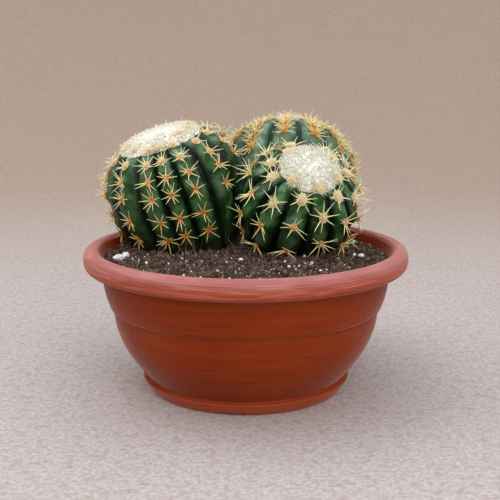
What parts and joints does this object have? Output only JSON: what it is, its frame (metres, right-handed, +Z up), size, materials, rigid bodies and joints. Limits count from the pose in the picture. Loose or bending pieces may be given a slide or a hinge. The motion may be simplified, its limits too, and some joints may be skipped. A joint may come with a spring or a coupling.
{
  "type": "potted round cactus",
  "caption": "Ribbed barrel cacti with woolly crowns and star-shaped spine clusters, in a terracotta-coloured plastic bowl of soil.",
  "frame": {"origin": "middle of the bowl's foot, on the surface it stands on", "axes": "+Z up; the front of the bowl, with the open soil, is towards -Y"},
  "size_m": [0.25, 0.25, 0.2102],
  "materials": {
    "bowl_plastic": "moulded terracotta-coloured plastic, satin, with fine turned lines",
    "potting_soil": "dark fibrous peat mix with perlite grains",
    "stem_green": "waxy dark green skin with a grey bloom",
    "stem_blue_green": "waxy blue-green skin with a grey bloom",
    "crown_wool": "dense cream wool",
    "spines": "horny spines, yellow to orange-brown",
    "perlite": "chalky white expanded grain"
  },
  "bodies": {
    "root": {"bowl": "bowl_plastic", "left_spines_01": "spines", "left_spines_02": "spines", "left_spines_03": "spines", "left_spines_04": "spines", "left_spines_05": "spines", "left_spines_06": "spines", "left_spines_07": "spines", "left_spines_08": "spines", "left_spines_09": "spines", "left_spines_10": "spines", "left_spines_11": "spines", "left_spines_12": "spines", "left_spines_13": "spines", "left_stem": "stem_green", "left_wool": "crown_wool", "perlite_lump_1": "perlite", "perlite_lump_2": "perlite", "perlite_lump_3": "perlite", "perlite_lump_4": "perlite", "rear_spines_01": "spines", "rear_spines_02": "spines", "rear_spines_03": "spines", "rear_spines_04": "spines", "rear_spines_05": "spines", "rear_spines_06": "spines", "rear_spines_07": "spines", "rear_spines_08": "spines", "rear_spines_09": "spines", "rear_spines_10": "spines", "rear_spines_11": "spines", "rear_spines_12": "spines", "rear_spines_13": "spines", "rear_stem": "stem_blue_green", "rear_wool": "crown_wool", "right_spines_01": "spines", "right_spines_02": "spines", "right_spines_03": "spines", "right_spines_04": "spines", "right_spines_05": "spines", "right_spines_06": "spines", "right_spines_07": "spines", "right_spines_08": "spines", "right_spines_09": "spines", "right_spines_11": "spines", "right_spines_12": "spines", "right_spines_13": "spines", "right_stem": "stem_green", "right_wool": "crown_wool", "soil": "potting_soil"}
  },
  "joints": []
}
